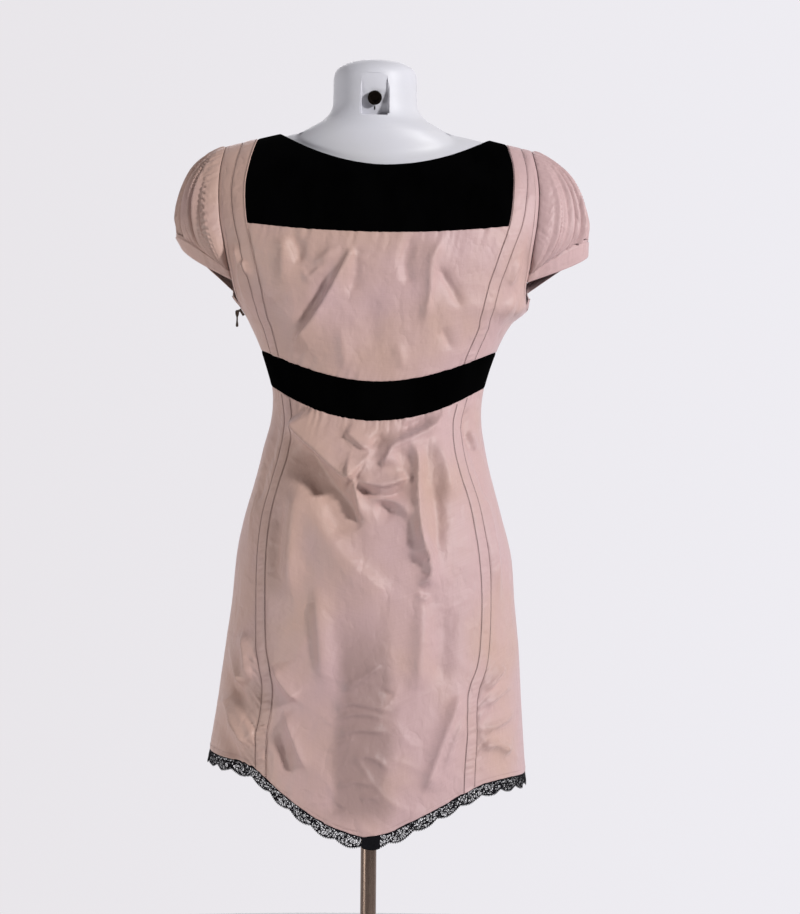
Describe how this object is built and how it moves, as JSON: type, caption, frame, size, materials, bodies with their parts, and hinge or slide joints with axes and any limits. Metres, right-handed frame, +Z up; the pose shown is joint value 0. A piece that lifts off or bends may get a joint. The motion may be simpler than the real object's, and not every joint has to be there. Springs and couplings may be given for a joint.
{
  "type": "evening dress on a dress form",
  "caption": "Short-sleeved taffeta evening dress with a velvet yoke and high waistband and a lace-edged pointed hem, worn by a limbless dress form on a round foot.",
  "frame": {"origin": "on the floor at the centre of the foot's underside, on the pole's axis", "axes": "+Z up, -Y the front of the dress, +X the wearer's left, where the side zip is"},
  "size_m": [0.4959, 0.33, 1.399],
  "materials": {
    "taffeta": "crisp silk-like sheen",
    "velvet": "matt pile",
    "lace": "fine scalloped lace",
    "form_shell": "satin",
    "stand_steel": "bright drawn",
    "zip_tape": "woven tape",
    "zip_metal": "dark satin"
  },
  "bodies": {
    "dress_on_form": {"skirt_back": "taffeta", "bodice_back": "taffeta", "skirt_back_strip_left": "taffeta", "bodice_back_strip_left": "taffeta", "skirt_back_strip_right": "taffeta", "bodice_back_strip_right": "taffeta", "skirt_back_side_left": "taffeta", "bodice_back_side_left": "taffeta", "skirt_back_side_right": "taffeta", "bodice_back_side_right": "taffeta", "skirt_front": "taffeta", "bodice_front": "taffeta", "skirt_front_strip_left": "taffeta", "bodice_front_strip_left": "taffeta", "skirt_front_strip_right": "taffeta", "bodice_front_strip_right": "taffeta", "skirt_front_side_left": "taffeta", "bodice_front_side_left": "taffeta", "skirt_front_side_right": "taffeta", "bodice_front_side_right": "taffeta", "sleeve_left": "taffeta", "sleeve_right": "taffeta", "cuff_left": "taffeta", "cuff_right": "taffeta", "yoke_back": "velvet", "yoke_front": "velvet", "waistband_back": "velvet", "waistband_front": "velvet", "lace_back": "lace", "lace_front": "lace", "form_torso": "form_shell", "form_socket": "stand_steel", "stand_foot": "stand_steel", "stand_collar": "stand_steel", "stand_pole": "stand_steel", "side_zip": "zip_tape", "zip_slider": "zip_metal"},
    "pull_tab": {"zip_pull": "zip_metal"}
  },
  "joints": [
    {"name": "pull_swing", "type": "hinge", "parent": "dress_on_form", "child": "pull_tab", "pos_m": [0.16326, 0, 1.09743], "axis": [0, -1, 0], "range_deg": [-20, 100]}
  ]
}
